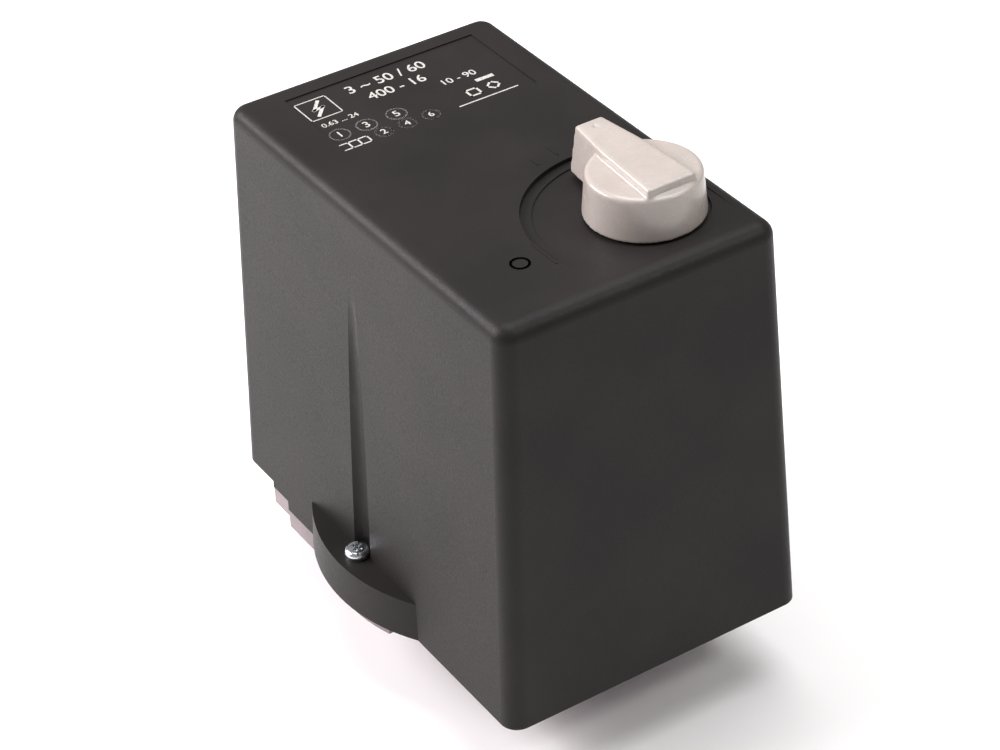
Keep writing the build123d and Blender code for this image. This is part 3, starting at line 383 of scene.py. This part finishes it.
# number, centre x, centre y, radius
RINGS = (
    ("1", -27.2, 40.2, 3.1),
    ("3", -18.1, 40.2, 3.1),
    ("5", -7.8, 40.2, 3.1),
    ("2", -16.0, 33.7, 2.6),
    ("4", -8.0, 33.7, 2.6),
    ("6", 0.2, 33.7, 2.6),
)
# the dial's end line, the off ring, the fine tick and the on bar
DIAL_MARKS = (
    [(-35.2, 3.2), (-35.2, -8.0)],
    ring_points((-43.2, -2.4), 2.6),
    [(-11.3, 40.6), (-11.0, 37.4)],
    [(-3.6, 38.6), (-3.6, 43.4)],
)


def hood_print():
    """The pad-printed data panel in its shallow recess behind the knob."""
    shape = bmesh.new()
    z = HOOD_TOP - PANEL_DEPTH
    for width, points in PANEL_LINES:
        stroke(shape, placed(HOOD_MID, points), width * MM, z)
    for text, x, y, height in NUMERALS:
        digits(shape, text, placed(HOOD_MID, [(x, y)])[0], height * MM, z)
    for number, x, y, radius in RINGS:
        stroke(shape, placed(HOOD_MID, ring_points((x, y), radius)), RING_LINE * MM, z)
        digits(shape, number, placed(HOOD_MID, [(x, y)])[0], radius * MM, z)
    return mesh_piece("hood_print", shape, PRINT, "cover")


def dial_marks():
    """The raised on and off marks moulded beside the knob's dial."""
    shape = bmesh.new()
    for points in DIAL_MARKS:
        line = placed(KNOB_AXIS, points)
        stroke(shape, line, MARK_LINE * MM, HOOD_TOP - MARK_SINK, MARK_SINK + MARK_RISE)
    return mesh_piece("dial_marks", shape, FINISHES["hood_plastic"], "cover")


# ---- knob --------------------------------------------------------------------------------------
KNOB_CELL = 0.4 * MM
KNOB_SMOOTHINGS, KNOB_SMOOTHING = 7, 0.5


def soft_knob():
    """The knob with the rounded edges of a pressed resin moulding."""
    mesh = frame["nodes"]["knob"].data.copy()
    mesh.materials.clear()
    mesh.materials.append(FINISHES["knob_plastic"])
    piece = bpy.data.objects.new("knob_moulding", mesh)
    bpy.context.scene.collection.objects.link(piece)
    remesh = piece.modifiers.new("even_faces", "REMESH")
    remesh.mode = "VOXEL"
    remesh.voxel_size = KNOB_CELL
    remesh.use_smooth_shade = True
    soften = piece.modifiers.new("moulded_edges", "SMOOTH")
    soften.iterations = KNOB_SMOOTHINGS
    soften.factor = KNOB_SMOOTHING
    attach(piece, "knob")
    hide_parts("knob")
    return piece


# ---- cover screws ------------------------------------------------------------------------------
SCREW_LOW, SCREW_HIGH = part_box("cover_screws")
HEAD_R, HEAD_H, SHANK_R = 4.0 * MM, 2.8 * MM, 2.0 * MM
HEAD_RIM_H, HEAD_DOME, HEAD_UNDERCUT = 0.9 * MM, 1.3 * MM, 0.25 * MM
HEAD_FLAT = 0.3
PITCH, TIP_CHAMFER, PLAIN_SHANK = 0.7 * MM, 0.4 * MM, 3.0 * MM
TIP_SHARE, ROOT_SHARE, CREST_SHARE = 0.7, 0.86, 0.98
DOME_STEP = 10
# the recess's arms: direction in degrees, half length, depth and width in mm, width share at the bottom
RECESS_ARMS = ((0, 2.3, 1.6, 1.0, 0.62), (90, 2.3, 1.6, 1.0, 0.62), (45, 3.6, 1.0, 0.85, 1.0))
RECESS_ABOVE = 0.5 * MM


def lathe(shape, profile, centre, steps=48):
    """Spins a (radius, height) profile about an upright axis; it starts and ends on the axis."""
    rings = []
    for radius, height in profile[1:-1]:
        ring = []
        for i in range(steps):
            angle = 2 * math.pi * i / steps
            offset = Vector((radius * math.cos(angle), radius * math.sin(angle), height))
            ring.append(shape.verts.new(centre + offset))
        rings.append(ring)
    for low, high in zip(rings, rings[1:]):
        for i in range(steps):
            j = (i + 1) % steps
            shape.faces.new((low[i], low[j], high[j], high[i]))
    for (_, height), ring, turn in ((profile[0], rings[0], -1), (profile[-1], rings[-1], 1)):
        tip = shape.verts.new(centre + Vector((0, 0, height)))
        for i in range(steps):
            j = (i + 1) % steps
            shape.faces.new((ring[i], ring[j], tip) if turn > 0 else (ring[j], ring[i], tip))


def screw_profile(seat, tip):
    """A pan-head machine screw from its tip up: chamfered end, thread, plain shank and domed head."""
    root, crest = SHANK_R * ROOT_SHARE, SHANK_R * CREST_SHARE
    profile = [(0, tip), (SHANK_R * TIP_SHARE, tip)]
    height = tip + TIP_CHAMFER
    while height < seat - PLAIN_SHANK:
        profile += [(root, height), (crest, height + PITCH / 2)]
        height += PITCH
    profile += [(root, height), (root, seat), (HEAD_R - HEAD_UNDERCUT, seat)]
    for degrees in range(0, 91, DOME_STEP):
        angle = math.radians(degrees)
        inward = HEAD_DOME * (1 - math.cos(angle))
        up = HEAD_RIM_H + (HEAD_H - HEAD_RIM_H) * math.sin(angle)
        profile.append((HEAD_R - inward, seat + up))
    profile += [(HEAD_R * HEAD_FLAT, seat + HEAD_H), (0, seat + HEAD_H)]
    return profile


def recess_cutter(name, centre, turn):
    """A tapered cross with one arm run out as a slot, as on a combined-recess screw."""
    shape = bmesh.new()
    for angle, half_length, depth, width, taper in RECESS_ARMS:
        made = bmesh.ops.create_cube(shape, size=1.0)["verts"]
        rotation = Matrix.Rotation(math.radians(angle + turn), 4, "Z")
        for vertex in made:
            share = taper if vertex.co.z < 0 else 1.0
            vertex.co.x *= 2 * half_length * MM * share
            vertex.co.y *= width * MM * share
            vertex.co.z = RECESS_ABOVE if vertex.co.z > 0 else -depth * MM
            vertex.co = rotation @ vertex.co + centre
    mesh = bpy.data.meshes.new(name)
    shape.to_mesh(mesh)
    shape.free()
    cutter = bpy.data.objects.new(name, mesh)
    bpy.context.scene.collection.objects.link(cutter)
    return cutter


def cover_screw(hand, x, turn):
    """One captive zinc-plated M4 pan-head screw of the hood."""
    centre = Vector((x, (SCREW_LOW.y + SCREW_HIGH.y) / 2, 0))
    seat = SCREW_HIGH.z - HEAD_H
    shape = bmesh.new()
    lathe(shape, screw_profile(seat, SCREW_LOW.z), centre)
    piece = mesh_piece(f"cover_screw_{hand}", shape, FINISHES["zinc_steel"], "cover")
    cutter = recess_cutter("recess_cutter", centre + Vector((0, 0, SCREW_HIGH.z)), turn)
    cut = piece.modifiers.new("recess", "BOOLEAN")
    cut.object = cutter
    cut.solver = "EXACT"
    cut.use_self = True
    graph = bpy.context.evaluated_depsgraph_get()
    piece.data = bpy.data.meshes.new_from_object(piece.evaluated_get(graph))
    piece.modifiers.clear()
    bpy.data.objects.remove(cutter)
    smooth_by_angle(piece, 35)
    return piece


def cover_screws():
    """Both screws in place of the CAD's, each stopped at its own angle."""
    left = cover_screw("left", SCREW_LOW.x + HEAD_R, 20)
    cover_screw("right", SCREW_HIGH.x - HEAD_R, 65)
    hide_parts("cover_screws")


# ---- springs -------------------------------------------------------------------------------------
WIRE_SIDES, STEPS_PER_TURN = 12, 30
CLOSED_TURNS = 0.8
# node, turns, wire radius in mm, joint, held at the top, travel in mm
SPRINGS = (
    ("main_spring", 7, 1.3, "lever_rock", True, 2.15),
    ("differential_spring", 8, 0.8, "lever_rock", True, 2.95),
    ("reset_spring", 7, 0.4, "reset_press", False, 2.5),
)


def ground_coil(node, turns, wire_r):
    """A compression spring in place of a CAD one: closed end turns, ground flat at both ends."""
    low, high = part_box(node)
    middle, mean_r = (low + high) / 2, (high.x - low.x) / 2 - wire_r
    rise = high.z - low.z - 2 * wire_r
    shape = bmesh.new()
    rings = []
    for i in range(STEPS_PER_TURN * turns + 1):
        turn = i / STEPS_PER_TURN
        along = min(max(turn - CLOSED_TURNS, 0) / (turns - 2 * CLOSED_TURNS), 1)
        angle = 2 * math.pi * turn
        out = Vector((math.cos(angle), math.sin(angle), 0))
        core = Vector((middle.x, middle.y, low.z + wire_r + rise * along)) + out * mean_r
        ring = []
        for k in range(WIRE_SIDES):
            spin = 2 * math.pi * k / WIRE_SIDES
            point = core + (out * math.cos(spin) + Vector((0, 0, math.sin(spin)))) * wire_r
            point.z = min(max(point.z, low.z), high.z)
            ring.append(shape.verts.new(point))
        rings.append(ring)
    for a, b in zip(rings, rings[1:]):
        for k in range(WIRE_SIDES):
            n = (k + 1) % WIRE_SIDES
            shape.faces.new((a[k], b[k], b[n], a[n]))
    shape.faces.new(rings[0])
    shape.faces.new(reversed(rings[-1]))
    bmesh.ops.recalc_face_normals(shape, faces=shape.faces)
    piece = mesh_piece(f"{node}_coil", shape, FINISHES["spring_steel"], "base")
    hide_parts(node)
    smooth_by_angle(piece, 50)
    return piece, middle, low.z, high.z


def springs():
    """The springs that the rocker lever and the reset button squeeze, each drawn as a ground coil of its
    CAD length.
    """
    for node, turns, wire_r, joint, from_top, travel in SPRINGS:
        piece, middle, low, high = ground_coil(node, turns, wire_r * MM)
        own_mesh(piece)


# ---- scene --------------------------------------------------------------------------------------
FLOOR_SIZE = 6
WORLD_STRENGTH = 0.3
# name, place from the part's middle, size, watts, colour
LAMPS = (
    ("left_panel", (-0.90, 0.66, 0.70), (1.0, 0.8), 24.0, (1.0, 0.95, 0.97)),
    ("rim_light", (-0.60, 0.74, 0.43), (0.3, 0.2), 2.5, (1.0, 0.97, 0.98)),
    ("top_panel", (0.25, 0.10, 1.30), (1.2, 1.0), 17.0, (1.0, 1.0, 1.0)),
    ("edge_light", (0.55, -0.75, 0.90), (0.25, 0.2), 3.0, (1.0, 0.98, 0.96)),
)
AZIMUTH, ELEVATION, ROLL = -30.97, 35.59, -3.36
DISTANCE, FOCAL = 0.9385, 107.9
CLIP_START, CLIP_END = 0.01, 20
AIM_FROM_RIM = Vector((0.0134, 0.0251, 0.0397))


def studio():
    """A pale floor, large soft panels on the left and above, and small ones for the top's edges."""
    bpy.ops.mesh.primitive_plane_add(size=FLOOR_SIZE, location=(0, 0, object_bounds()[0].z))
    floor = bpy.context.object
    floor.name = "floor"
    paper, tree, shader, place = start_material("matt_paper", {"Roughness": 0.9})
    tint(tree, shader, noise(tree, place, 400.0), "#f9f8f8", "#fbfafa")
    floor.data.materials.append(paper)
    floor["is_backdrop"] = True
    world = bpy.data.worlds.new("studio")
    world.use_nodes = True
    sky = world.node_tree.nodes["Background"]
    sky.inputs["Color"].default_value = (1, 1, 1, 1)
    sky.inputs["Strength"].default_value = WORLD_STRENGTH
    bpy.context.scene.world = world
    middle = (cad_box[0] + cad_box[1]) / 2
    for name, place, size, power, colour in LAMPS:
        lamp = bpy.data.lights.new(name, "AREA")
        lamp.energy = power
        lamp.color = colour
        lamp.shape = "RECTANGLE"
        lamp.size, lamp.size_y = size
        holder = bpy.data.objects.new(name, lamp)
        holder.location = middle + Vector(place)
        holder.rotation_mode = "QUATERNION"
        holder.rotation_quaternion = (-Vector(place)).to_track_quat("-Z", "Y")
        bpy.context.scene.collection.objects.link(holder)


def camera():
    """A long lens looking down on the hood's left front corner."""
    lens = bpy.data.cameras.new("camera")
    lens.lens = FOCAL
    lens.clip_start, lens.clip_end = CLIP_START, CLIP_END
    eye = bpy.data.objects.new("camera", lens)
    azimuth, elevation = math.radians(AZIMUTH), math.radians(ELEVATION)
    flat = math.cos(elevation)
    back = Vector((math.sin(azimuth) * flat, -math.cos(azimuth) * flat, math.sin(elevation)))
    eye.location = HOOD_MID + AIM_FROM_RIM + back * DISTANCE
    eye.rotation_mode = "QUATERNION"
    level = (-back).to_track_quat("-Z", "Y")
    eye.rotation_quaternion = level @ Quaternion((0, 0, 1), math.radians(ROLL))
    bpy.context.scene.collection.objects.link(eye)
    bpy.context.scene.camera = eye


finish_cad_nodes()
hood_print()
dial_marks()
soft_knob()
cover_screws()
springs()
camera()
studio()
bpy.context.scene.view_settings.view_transform = "Standard"
